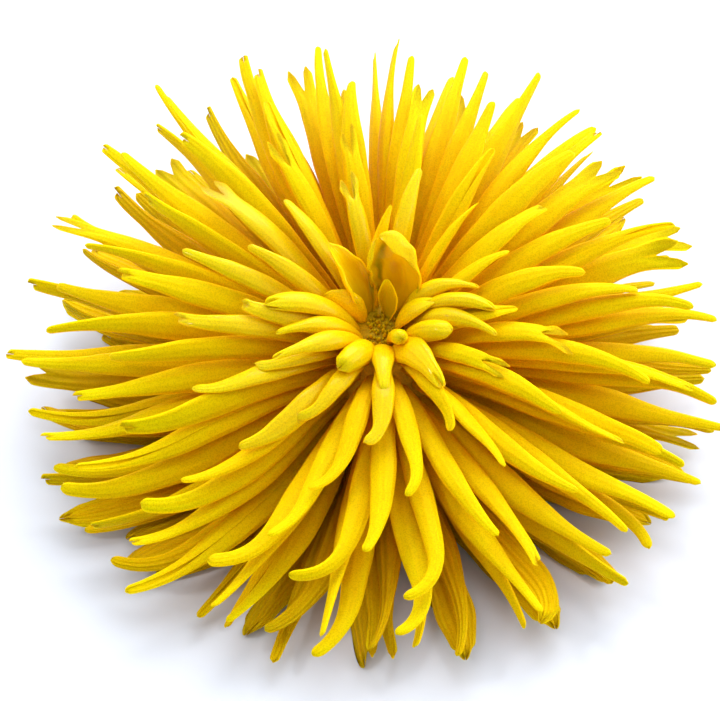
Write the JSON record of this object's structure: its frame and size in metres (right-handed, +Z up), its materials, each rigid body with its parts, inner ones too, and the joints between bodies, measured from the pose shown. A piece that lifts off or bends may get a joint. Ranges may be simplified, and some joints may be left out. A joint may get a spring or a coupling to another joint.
{
  "type": "quilled chrysanthemum head",
  "caption": "Yellow quilled chrysanthemum head lying face up: rings of slim tube-shaped ray florets around a small hollow eye, with green bracts and a stalk stump below.",
  "frame": {"origin": "middle of the head's outer box, on the surface it lies on", "axes": "+Z up; the face of the flower leans toward -Y"},
  "size_m": [0.112, 0.1148, 0.0406],
  "materials": {
    "strap_yellow": "soft matt petal, deep golden yellow",
    "quill_yellow": "soft matt petal, bright yellow",
    "heart_yellow": "satin young petal, golden yellow",
    "bract_green": "matt leaf green",
    "stalk_green": "matt stalk green",
    "disc_amber": "matt amber brown"
  },
  "bodies": {
    "root": {"receptacle": "stalk_green", "inner_bracts": "bract_green", "outer_bracts": "bract_green", "disc_florets": "disc_amber", "ray_ring_1_fan_1": "strap_yellow", "ray_ring_1_fan_2": "strap_yellow", "ray_ring_1_fan_3": "strap_yellow", "ray_ring_1_fan_4": "strap_yellow", "ray_ring_1_fan_5": "strap_yellow", "ray_ring_2_fan_1": "strap_yellow", "ray_ring_2_fan_2": "strap_yellow", "ray_ring_2_fan_3": "strap_yellow", "ray_ring_2_fan_4": "strap_yellow", "ray_ring_2_fan_5": "strap_yellow", "ray_ring_3_fan_1": "strap_yellow", "ray_ring_3_fan_2": "strap_yellow", "ray_ring_3_fan_3": "strap_yellow", "ray_ring_3_fan_4": "strap_yellow", "ray_ring_3_fan_5": "strap_yellow", "ray_ring_4_fan_1": "quill_yellow", "ray_ring_4_fan_2": "quill_yellow", "ray_ring_4_fan_3": "quill_yellow", "ray_ring_4_fan_4": "quill_yellow", "ray_ring_4_fan_5": "quill_yellow", "ray_ring_5_fan_1": "quill_yellow", "ray_ring_5_fan_2": "quill_yellow", "ray_ring_5_fan_3": "quill_yellow", "ray_ring_5_fan_4": "quill_yellow", "ray_ring_5_fan_5": "quill_yellow", "ray_ring_6_fan_1": "quill_yellow", "ray_ring_6_fan_2": "quill_yellow", "ray_ring_6_fan_3": "quill_yellow", "ray_ring_6_fan_4": "quill_yellow", "ray_ring_7_fan_1": "quill_yellow", "ray_ring_7_fan_2": "quill_yellow", "ray_ring_7_fan_3": "quill_yellow", "ray_ring_7_fan_4": "quill_yellow", "ray_ring_8_fan_1": "quill_yellow", "ray_ring_8_fan_2": "quill_yellow", "ray_ring_8_fan_3": "quill_yellow", "ray_ring_9_fan_1": "quill_yellow", "ray_ring_9_fan_2": "quill_yellow", "ray_ring_9_fan_3": "quill_yellow", "heart_floret_01": "heart_yellow", "heart_floret_02": "heart_yellow", "heart_floret_03": "heart_yellow", "heart_floret_04": "heart_yellow", "heart_floret_05": "heart_yellow", "heart_floret_06": "heart_yellow", "heart_floret_07": "heart_yellow", "heart_floret_08": "heart_yellow", "heart_floret_09": "heart_yellow", "heart_floret_10": "heart_yellow", "heart_floret_11": "heart_yellow", "heart_floret_12": "heart_yellow", "heart_floret_13": "heart_yellow", "heart_floret_14": "heart_yellow", "heart_floret_15": "heart_yellow", "heart_floret_16": "heart_yellow", "heart_floret_17": "heart_yellow"}
  },
  "joints": []
}
